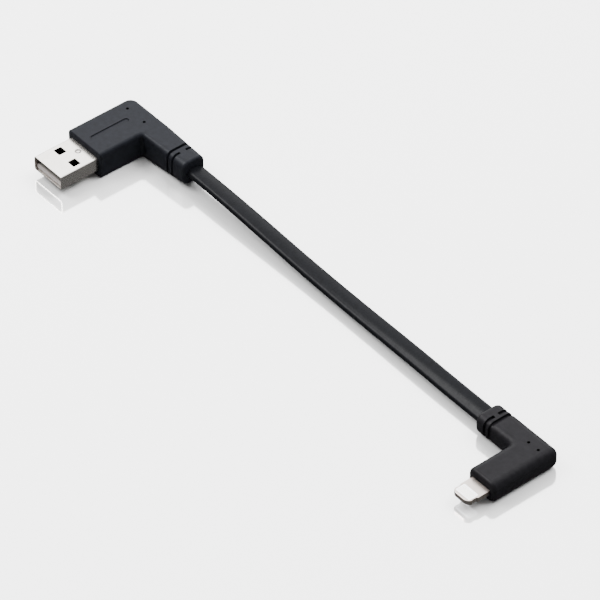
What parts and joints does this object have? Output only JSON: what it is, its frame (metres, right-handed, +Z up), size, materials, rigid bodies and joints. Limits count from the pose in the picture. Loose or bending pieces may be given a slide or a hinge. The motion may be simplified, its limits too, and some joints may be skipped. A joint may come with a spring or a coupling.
{
  "type": "charging cable",
  "caption": "Short flat black charging cable with a right-angle wide plug at one end and a right-angle slim plug at the other, both tips facing the same way.",
  "frame": {"origin": "middle of the cable's footprint, on the surface it lies on", "axes": "+X along the cord from the wide plug to the slim plug, both metal tips point along -Y, +Z up"},
  "size_m": [0.1788, 0.0348, 0.0085],
  "materials": {
    "plug_steel": "satin nickel plate",
    "tab_steel": "fine satin",
    "can_steel": "tinned sheet",
    "contact_metal": "gold flash",
    "solder": "dull solder",
    "tongue_plastic": "moulded",
    "block_plastic": "moulded",
    "inner_plastic": "moulded",
    "cover_rubber": "fine matt elastomer",
    "jacket_rubber": "smooth elastomer",
    "core_black": "extruded",
    "core_green": "extruded",
    "core_white": "extruded",
    "core_red": "extruded",
    "board": "lacquered",
    "chip": "moulded",
    "capacitor": "ceramic"
  },
  "bodies": {
    "root": {"wide_shell": "plug_steel", "wide_tongue": "tongue_plastic", "wide_contact_1": "contact_metal", "wide_contact_2": "contact_metal", "wide_contact_3": "contact_metal", "wide_contact_4": "contact_metal", "wide_solder": "solder", "wide_inner_mould": "inner_plastic", "wide_can": "can_steel", "wide_overmould": "cover_rubber", "cord_jacket": "jacket_rubber", "cord_core_ground": "core_black", "cord_core_data_plus": "core_green", "cord_core_data_minus": "core_white", "cord_core_power": "core_red", "slim_tab": "tab_steel", "slim_contact_block": "block_plastic", "slim_pads_top": "contact_metal", "slim_pads_bottom": "contact_metal", "slim_board": "board", "slim_chip": "chip", "slim_capacitors": "capacitor", "slim_solder": "solder", "slim_inner_mould": "inner_plastic", "slim_can_top": "can_steel", "slim_can_bottom": "can_steel", "slim_overmould": "cover_rubber"}
  },
  "joints": []
}
